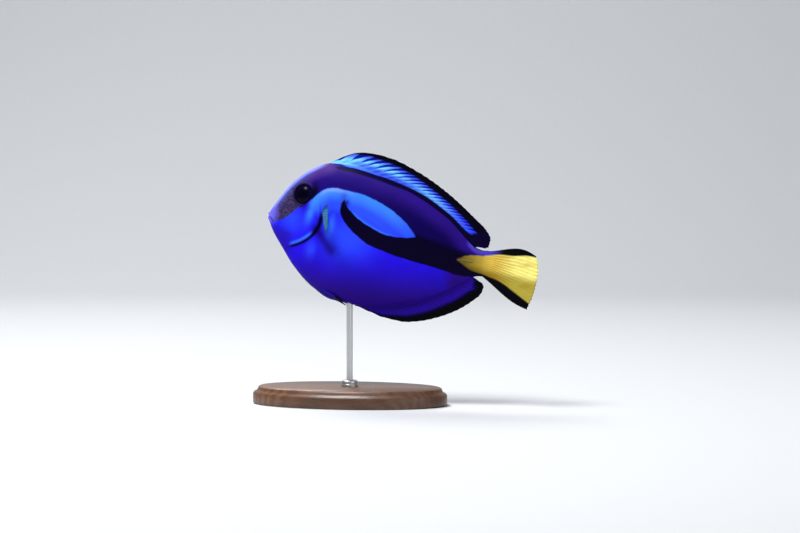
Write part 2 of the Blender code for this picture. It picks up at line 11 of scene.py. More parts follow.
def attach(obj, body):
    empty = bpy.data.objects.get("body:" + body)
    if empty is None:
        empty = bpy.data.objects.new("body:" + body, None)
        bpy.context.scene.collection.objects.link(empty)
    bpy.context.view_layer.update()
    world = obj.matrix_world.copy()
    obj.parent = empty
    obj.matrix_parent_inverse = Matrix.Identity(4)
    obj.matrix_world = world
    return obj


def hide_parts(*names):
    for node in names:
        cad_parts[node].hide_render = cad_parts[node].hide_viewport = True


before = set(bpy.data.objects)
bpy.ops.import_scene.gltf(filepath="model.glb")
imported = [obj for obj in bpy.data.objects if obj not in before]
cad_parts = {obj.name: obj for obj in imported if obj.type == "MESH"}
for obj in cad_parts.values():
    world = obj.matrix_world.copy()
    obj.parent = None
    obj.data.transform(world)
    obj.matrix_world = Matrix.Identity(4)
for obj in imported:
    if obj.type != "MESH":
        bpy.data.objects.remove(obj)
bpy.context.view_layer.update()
mm = 0.001

# The fish's own frame, in millimetres: s from the snout to the tail, y to its right, h up across the body
body = {
    "length": 119,
    "noseUp": math.radians(12.1),
    "snoutHeight": 95,
    "rodPlace": 50.5,
    "topLine": [(0, 0), (1.2, 4.3), (4.1, 10.6), (9.3, 19.3), (17.5, 27.7), (27, 32.6), (38, 33.6),
                (50, 31.8), (69, 27.6), (91, 19), (105, 9.5), (109, 7.3), (112, 6.9), (116, 7.7),
                (119, 8.1)],
    "bottomLine": [(0, 0), (1.2, -3.6), (4.5, -8.4), (9.9, -14.2), (18.2, -22.6), (30.2, -30.8),
                   (41.3, -34.6), (52.4, -34.6), (66, -32), (80.5, -27), (97, -17.6), (107, -9.4),
                   (112, -6.3), (119, -5.4)],
    "halfWidth": [(0, 0), (1, 2.1), (4, 3.9), (9, 5.5), (17.5, 7.3), (27, 8.7), (40, 9.3), (55, 8.8),
                  (72, 7.1), (90, 4.6), (104, 2.7), (112, 1.8), (119, 1.3)],
    "widestHeight": [(0, 0), (9, 3), (20, 6), (40, 5), (70, 1), (100, -0.5), (119, 0)],
    "lateralLine": [(27, 23), (38, 25), (55, 22), (75, 14.5), (95, 6), (112, 1.2)],
    "backRoundness": 1.9,
    "bellyRoundness": 2.1,
}
gill = {
    "edge": [(26.6, 44), (25.2, 26), (25.4, 17), (27.9, 10), (28.9, 4), (27.4, -2), (23, -7.6),
             (16, -12), (4, -17)],
    "lift": 0.4, "liftWidth": 7,
    "dip": 0.45, "dipWidth": 5,
    "slitPlace": 0.35, "slitDepth": 0.45, "slitWidth": 0.5,
    "foldPlace": 8.5, "foldDepth": 0.14, "foldWidth": 1.3,  # the fold ahead of the cover
}
eye = {
    "s": 17.1, "h": 14.6, "radius": 5.0, "depth": 2.9, "proud": 1.1,
    "widthShare": 0.96, "heightShare": 1.03,
    "rim": 5.35, "rimHeight": 0.4, "rimWidth": 0.7,
    # how deep the skin sinks behind the ball and in the seat round it, and from which radius to which
    "socketDepth": 3, "socket": (4.95, 4.3), "seatDepth": 0.45, "seat": (5.35, 4.8),
}
mouth = {
    "line": [(-2, 0.1), (0.2, -0.3), (2, -1.2), (3.9, -2.8)],
    "corner": 3.9, "groove": 0.45, "grooveWidth": 0.24,
    "lip": 0.5, "lipWidth": 0.7, "upperLip": 0.85, "lowerLip": -0.95,
}
nostrils = [(10.6, 15.4, 0.6), (12, 16.8, 0.45)]  # s, h, radius
markings = {
    # the lower edge of the dark back: snout, under the eye, over the pale oval to its rear tip
    "darkFront": [(-3, -2.4), (3.7, -2), (6.2, -1.5), (9.5, 0.5), (13, 3.8), (15.6, 7), (18.7, 8.9),
                  (21, 11.2), (24.3, 15.5), (26.6, 18.3), (30.1, 20.6), (35.2, 21.5), (41.2, 21.4),
                  (46.6, 21.2), (53.3, 20.1), (60.8, 17.9), (67, 15.1), (71.8, 12.4), (75.8, 9.1),
                  (78.4, 6.3)],
    # forwards again under the oval to the loop's tip
    "ovalUnder": [(78.4, 6.3), (74.3, 5.2), (69.2, 4.3), (63.9, 4.2), (58.4, 5.3), (52.7, 7.2),
                  (47.4, 9.6), (43.1, 12.3), (40.2, 15.2), (39.2, 16.8)],
    # and back along the loop's lower edge to the tail
    "loopUnder": [(39.2, 16.8), (38.2, 14), (38.2, 11.5), (39.2, 9), (41.6, 6), (45.5, 2.9),
                  (50.4, 0), (57, -2.8), (63.6, -4), (70.7, -5.1), (78.9, -5.8), (87, -6.3),
                  (95, -7), (103, -7.8), (111, -7.2), (122, -9.5)],
    # where the black of the band turns to violet above it, behind the oval
    "blackTop": [(112, 2.5), (101, 3.4), (90, 5), (78.4, 6.6)],
    "yellowTop": [(100.6, -0.3), (102.2, 1.2), (104.9, 2.7), (108.3, 3.6), (111.4, 4.1),
                  (114.9, 4.9), (117.8, 5.8), (119.9, 6.5), (122.1, 6.9), (127.3, 7.4), (131, 8.3),
                  (134.3, 9), (137.2, 9.1), (150, 9.1)],
    "yellowUnder": [(150, -16), (141.1, -13.6), (139.2, -12.8), (136.7, -11.7), (133.3, -10.2),
                    (130.4, -9), (128, -7.8), (125.1, -6.7), (122.6, -5.9), (120, -5.4),
                    (117.2, -5), (115, -4.6), (112.5, -4.5), (109.9, -4.2), (107.2, -3.5),
                    (104.9, -2.5), (102.8, -1.5), (100.6, -0.3)],
    # by s: how far under the ridge the dark line along the dorsal fin's root runs
    "finLine": [(27, 2), (33, 1.9), (40, 1.6), (46, 1.1), (52, 0.5), (58, 0.1), (66, -0.2), (119, -0.2)],
    # painted shadow of the pectoral fin on the flank behind the gill cover: from, to, width, strength
    "pectoralShadow": [((28.4, -1), (31, -3.5), 2.8, 1), ((31, -3.5), (37.5, -9.5), 3.1, 0.9)],
    "coverShadow": [(29.9, 7), (29.2, 1), (27.4, -2.6)], "shadowWidth": 1.15,
    "darkEye": 5.3,  # the radius of the dark round the eye
    "darkPatch": (22.6, 16.6, 2.2, 1.8),  # the patch behind it: s, h, half width, height over width
}
patches = {  # soft patches on head and flank: s, h, half width, half height, lean, strength
    "bright": [(45, -2, 12.075, 10.5, 0, 1), (14, 1, 6.5, 6.5, 0, 0.8), (27, -11.5, 2.8, 4.48, 0, 0.8)],
    "pale": [(23.3, 7, 2.1, 5.04, 0.1, 0.85), (35.2, 2.5, 1.9, 5.7, 0, 0.6)],
    "shade": [(19.6, 8.3, 2.6, 2.08, 0, 0.5), (38.8, 18, 2, 3.2, 0, 0.45), (40.6, 15.2, 1.5, 2.1, 0, 0.9)],
}


# Curves
def smoothTable(table, at):  # a cubic through (place, value) rows that never overshoots them
    place, value = np.array(table, float).T
    rise = np.diff(value) / np.diff(place)
    sameWay = rise[:-1] * rise[1:] > 0
    middle = np.where(sameWay, 2 * rise[:-1] * rise[1:] / np.where(sameWay, rise[:-1] + rise[1:], 1), 0)
    slope = np.concatenate((rise[:1], middle, rise[-1:]))
    at = np.asarray(at, float)
    i = np.clip(np.searchsorted(place, at) - 1, 0, len(place) - 2)
    span = place[i + 1] - place[i]
    t = (at - place[i]) / span
    start = value[i] * (1 + 2 * t) * (1 - t) ** 2 + slope[i] * span * t * (1 - t) ** 2
    end = value[i + 1] * (3 - 2 * t) * t * t + slope[i + 1] * span * t * t * (t - 1)
    return start + end


def alongBody(line, s):  # with places taken by their roots, so the snout starts round
    rooted = [(math.sqrt(place), value) for place, value in body[line]]
    return smoothTable(rooted, np.sqrt(np.clip(s, 0, body["length"])))


def pathPoints(points, shares):  # points at shares of the length of a smooth path
    points = np.array(points, float)
    steps = np.linalg.norm(np.diff(points, axis=0), axis=1)
    reach = np.concatenate(([0], np.cumsum(steps))) / steps.sum()
    both = [smoothTable(np.column_stack((reach, points[:, axis])), shares) for axis in range(2)]
    return np.stack(both, axis=-1)


def evenPath(points, count):
    return pathPoints(points, np.linspace(0, 1, count))


def ease(low, high, value):  # 0 at low, 1 at high, smooth between; low may be the larger
    t = np.clip((value - low) / (high - low), 0, 1)
    return t * t * (3 - 2 * t)


def hump(value, width):
    return np.exp(-((value / width) ** 2))


def pathDistance(path, s, h):  # distance from a path, negative to the left of its run
    path = np.asarray(path, float)
    best = np.full(np.shape(s), 1e9)
    side = np.ones(np.shape(s))
    for start, end in zip(path[:-1], path[1:]):
        run = end - start
        t = np.clip(((s - start[0]) * run[0] + (h - start[1]) * run[1]) / (run @ run), 0, 1)
        away = np.hypot(s - start[0] - t * run[0], h - start[1] - t * run[1])
        cross = run[1] * (s - start[0]) - run[0] * (h - start[1])
        closer = away < best - 1e-6
        side = np.where(closer, np.where(cross >= 0, 1, -1), side)
        best = np.where(closer, away, best)
    return best * side


def insideDistance(outline, s, h):  # positive inside a closed outline, negative outside
    closed = np.vstack((outline, outline[:1]))
    away = np.abs(pathDistance(closed, s, h))
    inside = np.zeros(np.shape(s), bool)
    for start, end in zip(closed[:-1], closed[1:]):
        spans = (start[1] > h) != (end[1] > h)
        if start[1] != end[1]:
            crossing = start[0] + (h - start[1]) * (end[0] - start[0]) / (end[1] - start[1])
            inside ^= spans & (s < crossing)
    return np.where(inside, away, -away)


# Body
def bodyHalfWidth(s, h):
    middle = alongBody("widestHeight", s)
    upper = h > middle
    edge = np.where(upper, alongBody("topLine", s), alongBody("bottomLine", s))
    power = np.where(upper, body["backRoundness"], body["bellyRoundness"])
    share = np.clip(np.abs((h - middle) / (edge - middle)), 0, 1)
    return alongBody("halfWidth", s) * (1 - share**power) ** (1 / power)


def surfaceFrame(s, h, side):  # the place on the flank and the way it faces
    step = 0.5
    byS = float(bodyHalfWidth(s + step, h) - bodyHalfWidth(s - step, h)) / (2 * step)
    byH = float(bodyHalfWidth(s, h + step) - bodyHalfWidth(s, h - step)) / (2 * step)
    surface = np.array((s, side * float(bodyHalfWidth(s, h)), h))
    return surface, np.array(Vector((-byS, side, -byH)).normalized())


def bodySurface(s, angle):  # angle from the back's ridge, positive to the right
    middle = alongBody("widestHeight", s)
    upper = np.cos(angle) >= 0
    edge = np.where(upper, alongBody("topLine", s), alongBody("bottomLine", s))
    power = 2 / np.where(upper, body["backRoundness"], body["bellyRoundness"])
    h = middle + (edge - middle) * np.abs(np.cos(angle)) ** power
    y = alongBody("halfWidth", s) * np.abs(np.sin(angle)) ** power * np.sign(np.sin(angle))
    return np.stack((s, y, h), axis=-1)


def fishToWorld():
    belly = float(alongBody("bottomLine", body["rodPlace"]))
    overRod = body["rodPlace"] * math.cos(body["noseUp"]) + belly * math.sin(body["noseUp"])
    place = Matrix.Translation((-overRod * mm, 0, body["snoutHeight"] * mm))
    return place @ Matrix.Rotation(body["noseUp"], 4, "Y") @ Matrix.Scale(mm, 4)


fishPose = fishToWorld()
gillPath = evenPath(gill["edge"], 90)
mouthPath = evenPath(mouth["line"], 24)
lateralPath = evenPath(body["lateralLine"], 60)
frontPlaces = np.linspace(0, 6.3, 60) ** 2
topProfile = np.column_stack((frontPlaces, alongBody("topLine", frontPlaces)))
frontEdge = evenPath(markings["darkFront"], 120)
underOval = evenPath(markings["ovalUnder"], 50)
underLoop = evenPath(markings["loopUnder"], 80)
overBack = [(160, -12), (160, 60), (-20, 60), (-20, -2.4)]  # closes the dark outline clear of the fish
darkOutline = np.vstack((frontEdge, underOval[1:], underLoop[1:], overBack))
blackOutline = np.vstack((underOval, underLoop[1:], evenPath(markings["blackTop"], 20)))
yellowOutline = np.vstack((evenPath(markings["yellowTop"], 60), evenPath(markings["yellowUnder"], 60)[:-1]))


# Objects
def getCo(mesh):
    co = np.empty(len(mesh.vertices) * 3)
    mesh.vertices.foreach_get("co", co)
    return co.reshape(-1, 3)


def setCo(mesh, co):
    mesh.vertices.foreach_set("co", np.ascontiguousarray(co, float).ravel())
    mesh.update()


def getNormals(mesh):
    normals = np.empty(len(mesh.vertices) * 3)
    mesh.vertices.foreach_get("normal", normals)
    return normals.reshape(-1, 3)


def setAttributes(mesh, values):
    for name, value in values.items():
        attribute = mesh.attributes.new(name, "FLOAT", "POINT")
        attribute.data.foreach_set("value", np.ascontiguousarray(value, np.float32).ravel())


def meshFrom(name, bm):
    mesh = bpy.data.meshes.new(name)
    bm.to_mesh(mesh)
    bm.free()
    return mesh


def addObject(name, mesh):
    thing = bpy.data.objects.new(name, mesh)
    bpy.context.scene.collection.objects.link(thing)
    return thing


def addPiece(name, mesh, material, slot, *nodes):
    for face in mesh.polygons:
        face.use_smooth = True
    piece = addObject(name, mesh)
    mesh.materials.clear()
    mesh.materials.append(material)
    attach(piece, "root")
    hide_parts(*nodes)
    return piece


# Materials
def linear(hexColour):  # sRGB hex to linear
    parts = [int(hexColour[i:i + 2], 16) / 255 for i in (1, 3, 5)]
    return (*[c / 12.92 if c <= 0.04045 else ((c + 0.055) / 1.055) ** 2.4 for c in parts], 1)


def addNode(tree, kind, *values, out=0, **settings):  # the values and links fill its sockets in order
    node = tree.nodes.new("ShaderNode" + kind)
    for name, value in settings.items():
        setattr(node, name, value)
    for socket, value in zip([s for s in node.inputs if s.enabled], values):
        if isinstance(value, bpy.types.NodeSocket):
            tree.links.new(value, socket)
        elif value is not None:
            socket.default_value = linear(value) if isinstance(value, str) else value
    return [s for s in node.outputs if s.enabled][out]


def setShader(material, **sockets):  # with constants, or with what a node puts out
    tree = material.node_tree
    for name, value in sockets.items():
        socket = tree.nodes["Principled BSDF"].inputs[name.replace("_", " ")]
        if isinstance(value, bpy.types.NodeSocket):
            tree.links.new(value, socket)
        else:
            socket.default_value = value
    return material


def newMaterial(name, **constants):  # a material, what adds a node to it, and its object coordinates
    material = bpy.data.materials.new(name)
    material.use_nodes = True
    add = partial(addNode, material.node_tree)
    return setShader(material, **constants), add, add("TexCoord", out=objectPlace)


rgba = {"data_type": "RGBA"}
soft = {"interpolation_type": "SMOOTHSTEP"}
number = 2  # the Attribute node's output for one number
objectPlace = 3  # the Texture Coordinate node's output for object coordinates

# Noise scales are in waves to the metre, so 1000 is a grain of a millimetre
tailColours = {
    "start": "#26281a", "root": "#8a7c2c", "middle": "#d8b84e", "rear": "#f6ec84",
    "smudge": "#b08a2c", "smudgeGrain": 260.0, "low": "#b2ab80", "edge": "#04050b",
}


def tailGold(add, along, low, place):  # olive where the yellow starts and below, palest at the rear
    c = tailColours
    rear = add("MapRange", along, 119, 133, **soft)
    gold = add("Mix", rear, c["middle"], c["rear"], **rgba)
    gold = add("Mix", add("MapRange", along, 117, 109), gold, c["root"], **rgba)
    gold = add("Mix", add("MapRange", along, 110, 102.5), gold, c["start"], **rgba)
    drawnOut = add("Mapping", place, None, None, (0.35, 1, 1))
    smudge = add("TexNoise", drawnOut, c["smudgeGrain"], 3.0)
    smudge = add("MapRange", smudge, 0.45, 0.75, 0.0, 0.45)
    gold = add("Mix", smudge, gold, c["smudge"], **rgba)
    return add("Mix", low, gold, c["low"], blend_type="MULTIPLY", **rgba)


skinColours = {
    "blue": "#2210e2",
    "bright": "#2a46ff",
    "pale": "#3a80ff",
    "crest": "#7898ff",
    "belly": "#290c84",
    # painted shadow of the pectoral fin, and violet tints under the eye and at the loop's tip
    "shade": "#17047e",
    # painted shadow just behind the gill cover
    "under": "#05012a",
    # painted highlight along the ridge of the back
    "litBackTop": "#240d72",
    "backFront": "#1a0868",
    "backRear": "#0d0348",
    "stem": "#4237ac",
    "black": "#06011f",
    "finFoot": "#4374f8",
    "finLine": "#080230",
    "face": "#2c2348",
    "faceFleck": "#6a5d84",
    # paler skin along the forehead's edge, brightened by a painted highlight
    "paleLitForehead": "#8690fa",
    # a wider, fainter band below the forehead's edge: paler skin and painted highlight
    "brow": "#4d50ac",
    "nape": "#4c2e7c",
    "lip": "#6c64e4",
    # painted shade in the gill slit and along the mouth's groove
    "slit": "#05012a",
    "scale": 0.45,  # real scales are about 0.3 mm; drawn larger so that they show
    "edgeGrain": 420.0, "fleckGrain": 1300.0, "rimGrain": 900.0, "cloudGrain": 70.0, "fineGrain": 3200.0,
}


def tangSkin(names):
    # Living skin under tiny toothed scales: velvety, with a thin wet film, so it has no hard highlights
    c = skinColours
    material, add, place = newMaterial("tangSkin", Roughness=0.42, IOR=1.38, Specular_IOR_Level=0.05)
    mark = {name: add("Attribute", attribute_name=name, out=number) for name in names}
    wobble = add("TexNoise", place, c["edgeGrain"], 4.0)
    wobble = add("MapRange", wobble, 0.3, 0.7, -0.18, 0.18)
    for name, low, high in (("black", -2.6, 0.6), ("dark", -0.4, 0.4), ("yellow", -0.5, 0.5)):
        ragged = add("Math", mark[name], wobble, operation="ADD")
        mark[name] = add("MapRange", ragged, low, high, **soft)

    blue = c["blue"]
    for name in ("bright", "belly", "pale", "crest", "shade", "under"):
        blue = add("Mix", mark[name], blue, c[name], **rgba)

    fleck = add("TexNoise", place, c["fleckGrain"], 4.0)
    fleck = add("MapRange", fleck, 0.44, 0.7, 0.0, 0.45, **soft)
    face = add("Mix", fleck, c["face"], c["faceFleck"], **rgba)
    # the forehead's pale edge with its painted highlight, broken by grain
    rim = add("TexNoise", place, c["rimGrain"], 4.0)
    rim = add("MapRange", rim, 0.3, 0.6, 0.75, 1.0)
    rim = add("Math", mark["paleLitForehead"], rim, operation="MULTIPLY")
    foot = add("MapRange", mark["finFoot"], -0.2, 0.4, **soft)
    line = add("MapRange", mark["finLine"], 0.8, 0.35, **soft)
    back = add("Mix", mark["rear"], c["backFront"], c["backRear"], **rgba)
    # lighter along the ridge: a painted highlight
    back = add("Mix", mark["dusk"], c["litBackTop"], back, **rgba)
    layers = (
        (mark["stem"], c["stem"]), (mark["nape"], c["nape"]), (mark["face"], face), (mark["brow"], c["brow"]),
        (rim, c["paleLitForehead"]), (mark["black"], c["black"]), (foot, c["finFoot"]), (line, c["finLine"]),
    )
    for share, layer in layers:
        back = add("Mix", share, back, layer, **rgba)

    colour = add("Mix", mark["dark"], blue, back, **rgba)
    colour = add("Mix", mark["lip"], colour, c["lip"], **rgba)
    gold = tailGold(add, mark["place"], mark["low"], place)
    colour = add("Mix", mark["yellow"], colour, gold, **rgba)

    # painted shade in the gill slit's groove and along the mouth's groove
    slit = add("Math", mark["gill"], gill["slitPlace"], operation="SUBTRACT")
    slit = add("Math", slit, operation="ABSOLUTE")
    slit = add("MapRange", slit, 0.75, 0.2, **soft)
    slit = add("Math", slit, mark["slit"], operation="MULTIPLY")
    lips = add("Math", mark["mouth"], operation="ABSOLUTE")
    lips = add("MapRange", lips, 0.3, 0.1, **soft)
    slit = add("Math", slit, lips, operation="MAXIMUM")
    colour = add("Mix", slit, colour, c["slit"], **rgba)

    cloud = add("TexNoise", place, c["cloudGrain"], 5.0)
    cloud = add("MapRange", cloud, 0.3, 0.7, 0.9, 1.1)
    colour = add("HueSaturation", 0.5, 1.0, cloud, 1.0, colour)

    scales = add("TexVoronoi", place, 1000 / c["scale"])
    fine = add("TexNoise", place, c["fineGrain"], 2.0)
    height = add("Math", fine, scales, operation="SUBTRACT")
    relief = add("Bump", 0.5, 0.00004, None, height)
    return setShader(material, Base_Color=colour, Normal=relief)


skin = {
    "rings": 360, "around": 264, "evenness": 0.3,
    "spacing": [(0, 0), (0.55, 0.5), (0.82, 0.82), (1, 1)],  # from rings to roots of places along the body
    "taperStart": 108, "taperPower": 1.6, "closeStart": 114,
}


def skinPlaces(mesh):  # s and angle of each vertex of the sphere that becomes the skin
    co = getCo(mesh)
    share = np.arccos(np.clip(co[:, 2], -1, 1)) / math.pi
    turn = np.arctan2(co[:, 1], co[:, 0])
    return body["length"] * smoothTable(skin["spacing"], share) ** 2, turn + skin["evenness"] * np.sin(2 * turn)


def slitShare(s, h):  # the gill opening shows from the pectoral fin's root to under the cheek
    return ease(7, 3, h) * ease(14, 17, s)


def flankRelief(s, h):  # how far the flank stands out at the gill cover, the shoulder and the lateral line
    behind = -pathDistance(gillPath, s, h)
    cover = gill["lift"] * hump(behind, gill["liftWidth"])
    shoulder = -gill["dip"] * hump(behind, gill["dipWidth"])
    step = ease(-0.35, 0.35, behind)
    shown = ease(17, 9, h) * np.where(h < 0, ease(7, 14, s), 1)
    slit = gill["slitDepth"] * hump(behind - gill["slitPlace"], gill["slitWidth"]) * slitShare(s, h)
    fold = gill["foldDepth"] * hump(behind + gill["foldPlace"], gill["foldWidth"])
    fold = fold * ease(16, 8, h) * ease(-12, -4, h)
    lateral = 0.06 * hump(pathDistance(lateralPath, s, h), 0.5) * ease(24, 30, s)
    return shown * (cover * (1 - step) + shoulder * step) - slit - fold + lateral


def pressSocket(co, side):  # the rim round the eye, and the socket behind it
    surface, normal = surfaceFrame(eye["s"], eye["h"], side)
    offset = co - surface
    deep = offset @ normal
    around = np.linalg.norm(offset - deep[:, None] * normal, axis=1)
    near = (around < 9) & (np.abs(deep) < 6) & (co[:, 1] * side > 0)
    rim = eye["rimHeight"] * hump(around - eye["rim"], eye["rimWidth"])
    sink = (deep + eye["socketDepth"]) * ease(*eye["socket"], around)
    sink += eye["seatDepth"] * ease(*eye["seat"], around)
    return co + np.where(near, rim - sink, 0)[:, None] * normal


def pressNostrils(co, side):
    for s, h, radius in nostrils:
        away = np.hypot(co[:, 0] - s, co[:, 2] - h)
        here = (co[:, 1] * side > 0) & (away < 4)
        raised = 0.3 * radius * hump(away - 1.35 * radius, 0.5 * radius)
        co[:, 1] += np.where(here, side * (raised - radius * hump(away, 0.75 * radius)), 0)
    return co


def patchMark(name, s, h):  # the strongest of the soft patches at each place
    strongest = np.zeros(np.shape(s))
    for patchS, patchH, halfWidth, halfHeight, lean, strength in patches[name]:
        across = (s - patchS - lean * (h - patchH)) / halfWidth
        strongest = np.maximum(strongest, strength * hump(np.hypot(across, (h - patchH) / halfHeight), 1))
    return strongest


def skinMarks(s, h):  # what the skin's colours follow: shares, and distances in millimetres
    behind = -pathDistance(gillPath, s, h)
    belowBack = alongBody("topLine", s) - h
    finLine = smoothTable(markings["finLine"], s)
    lineWidening = 0.4 * ease(70, 60, s) * ease(28, 37, s)
    profile = np.abs(pathDistance(topProfile, s, h))
    patchS, patchH, halfWidth, stretch = markings["darkPatch"]
    darkPatch = halfWidth - np.hypot(s - patchS, (h - patchH) / stretch)
    darkEye = markings["darkEye"] - np.hypot(s - eye["s"], h - eye["h"])
    underEdge = np.abs(pathDistance(frontEdge, s, h))
    band = (0.3 + 0.7 * ease(8, 1, underEdge)) * ease(14, 9, underEdge) * ease(20, 24, s) * ease(90, 55, s)
    band = band * np.where(s < 40, ease(4, 9, h), 1)
    ovalRim = 0.6 * hump(pathDistance(underOval, s, h), 1.5) * ease(42, 46, s) * ease(76, 60, s)
    # painted highlight along the lit edge of the gill cover, just ahead of the slit's lower part
    coverEdgeHighlight = 0.75 * hump(behind + 1, 0.7) * slitShare(s, h) * ease(-1, -5, h)
    # the painted shadow that the pectoral fin casts on the flank
    pectoralShadow = [strength * hump(pathDistance((start, end), s, h), width)
             for start, end, width, strength in markings["pectoralShadow"]]
    lowBelly = ease(-6, -33, h - 0.12 * (s - 40))
    throat = 0.5 * ease(-3, -7, h) * ease(18, 12, s)
    return {
        "dark": insideDistance(darkOutline, s, h),
        "yellow": insideDistance(yellowOutline, s, h),
        "black": np.maximum(insideDistance(blackOutline, s, h), np.maximum(darkPatch, darkEye) - 0.8),
        "gill": behind,
        "slit": slitShare(s, h),
        "mouth": np.where(s < mouth["corner"] + 0.3, pathDistance(mouthPath, s, h), 9),
        "finLine": np.abs(belowBack - finLine - lineWidening) + ease(33, 27.5, s) - lineWidening,
        "finFoot": np.where(s > 27, finLine - belowBack - 0.75 - 1.6 * ease(37, 28, s), -9),
        "rear": ease(38, 78, s),
        # how far below the painted highlight along the ridge
        "dusk": ease(3, 10.5, belowBack),
        "stem": ease(102.5, 106, s) * ease(3.4, 1.2, belowBack),
        "face": ease(21, 15, s) * ease(27, 19, h),
        # paler skin and a painted highlight along the forehead's edge, and a fainter band of both below it
        "paleLitForehead": ease(2.6, 0.5, profile) * ease(27, 19, s),
        "brow": 0.6 * ease(5.5, 1.5, profile) * ease(24, 14, s),
        "nape": 0.85 * ease(8, 2, profile) * ease(13, 20, s) * ease(33, 26, s),
        "bright": patchMark("bright", s, h),
        "pale": np.maximum.reduce((band, ovalRim, coverEdgeHighlight, patchMark("pale", s, h))),
        "crest": 0.8 * hump(underEdge - 0.9, 0.9) * ease(25, 29, s) * ease(46, 36, s),
        "belly": np.maximum.reduce((lowBelly, ease(90, 102, s), throat)),
        # painted shadow of the pectoral fin, with violet tints under the eye and at the loop's tip
        "shade": np.maximum.reduce((*pectoralShadow, patchMark("shade", s, h))),
        "under": hump(pathDistance(markings["coverShadow"], s, h), markings["shadowWidth"]),
        "lip": 0.9 * ease(8, 2, np.hypot(s, h - 0.6)),
        "place": s,
        "low": ease(0, -4.5, h),
    }


def makeSkin():
    bm = bmesh.new()
    bmesh.ops.create_uvsphere(bm, u_segments=skin["around"], v_segments=skin["rings"], radius=1)
    mesh = meshFrom("skin", bm)
    s, angle = skinPlaces(mesh)
    co = bodySurface(s, angle)
    h = co[:, 2].copy()
    co[:, 1] += np.sign(co[:, 1]) * np.abs(np.sin(angle)) * flankRelief(s, h)
    marks = skinMarks(s, h)
    taper = np.clip((s - skin["taperStart"]) / (body["length"] - skin["taperStart"]), 0, 1)
    closing = np.clip((s - skin["closeStart"]) / (body["length"] - skin["closeStart"]), 0, 1)
    co[:, 1] *= 1 - taper ** skin["taperPower"]
    co[:, 2] *= np.sqrt(1 - closing**2)
    setCo(mesh, co)
    above = -pathDistance(mouthPath, s, h)
    fade = ease(mouth["corner"] + 0.6, mouth["corner"] - 1.6, s)
    lips = hump(above - mouth["upperLip"], mouth["lipWidth"])
    lips += hump(above - mouth["lowerLip"], mouth["lipWidth"])
    relief = mouth["lip"] * lips - mouth["groove"] * hump(above, mouth["grooveWidth"])
    co += (relief * fade)[:, None] * getNormals(mesh)
    for side in (-1, 1):
        co = pressNostrils(pressSocket(co, side), side)
    setCo(mesh, co)
    setAttributes(mesh, marks)
    mesh.transform(fishPose)
    addPiece("skin", mesh, tangSkin(marks), "skin", "head", "trunk", "tail_stem")


print("skin")
makeSkin()

# Eyes
eyeColours = {
    "pupil": "#020110", "iris": "#08032c", "ring": "#2b1d38",
    "pupilRadius": 3.3, "ringRadius": 4.8, "fibreGrain": 1500.0,
}


def wetEye():
    # A fish's eye: a near-black ball under a clear cornea, which mirrors only the lamps, as it does under water
    c = eyeColours
    material, add, place = newMaterial("wetEye", Roughness=0.25, IOR=1.34, Specular_IOR_Level=0.03,
                                       Coat_Weight=0.06, Coat_Roughness=0.05)
    outward = add("Attribute", attribute_name="fromAxis", out=number)
    fibres = add("TexNoise", place, c["fibreGrain"], 4.0)
    fibres = add("MapRange", fibres, 0.3, 0.7)
    ring = add("Math", outward, c["ringRadius"], operation="SUBTRACT")
    ring = add("Math", ring, operation="ABSOLUTE")
    ring = add("MapRange", ring, 0.4, 0.05, **soft)
    ring = add("Math", ring, fibres, operation="MULTIPLY")
    iris = add("Mix", ring, c["iris"], c["ring"], **rgba)
    beyondPupil = add("MapRange", outward, c["pupilRadius"] - 0.15, c["pupilRadius"] + 0.15, **soft)
    colour = add("Mix", beyondPupil, c["pupil"], iris, **rgba)
    return setShader(material, Base_Color=colour)


def makeEye(name, side, material):
    surface, normal = surfaceFrame(eye["s"], eye["h"], side)
    bm = bmesh.new()
    bmesh.ops.create_uvsphere(bm, u_segments=64, v_segments=40, radius=1)
    mesh = meshFrom(name, bm)
    co = getCo(mesh)
    setAttributes(mesh, {"fromAxis": np.hypot(co[:, 0], co[:, 1]) * eye["radius"]})
    centre = Matrix.Translation(Vector(surface + normal * (eye["proud"] - eye["depth"])))
    turn = Vector(normal).to_track_quat("Z", "Y").to_matrix().to_4x4()
    width, height = eye["widthShare"] * eye["radius"], eye["heightShare"] * eye["radius"]
    mesh.transform(fishPose @ centre @ turn @ Matrix.Diagonal((width, height, eye["depth"], 1)))
    addPiece(name + "_ball", mesh, material, "eye", name)


print("eyes")
eyeMaterial = wetEye()
makeEye("eye_left", -1, eyeMaterial)
makeEye("eye_right", 1, eyeMaterial)

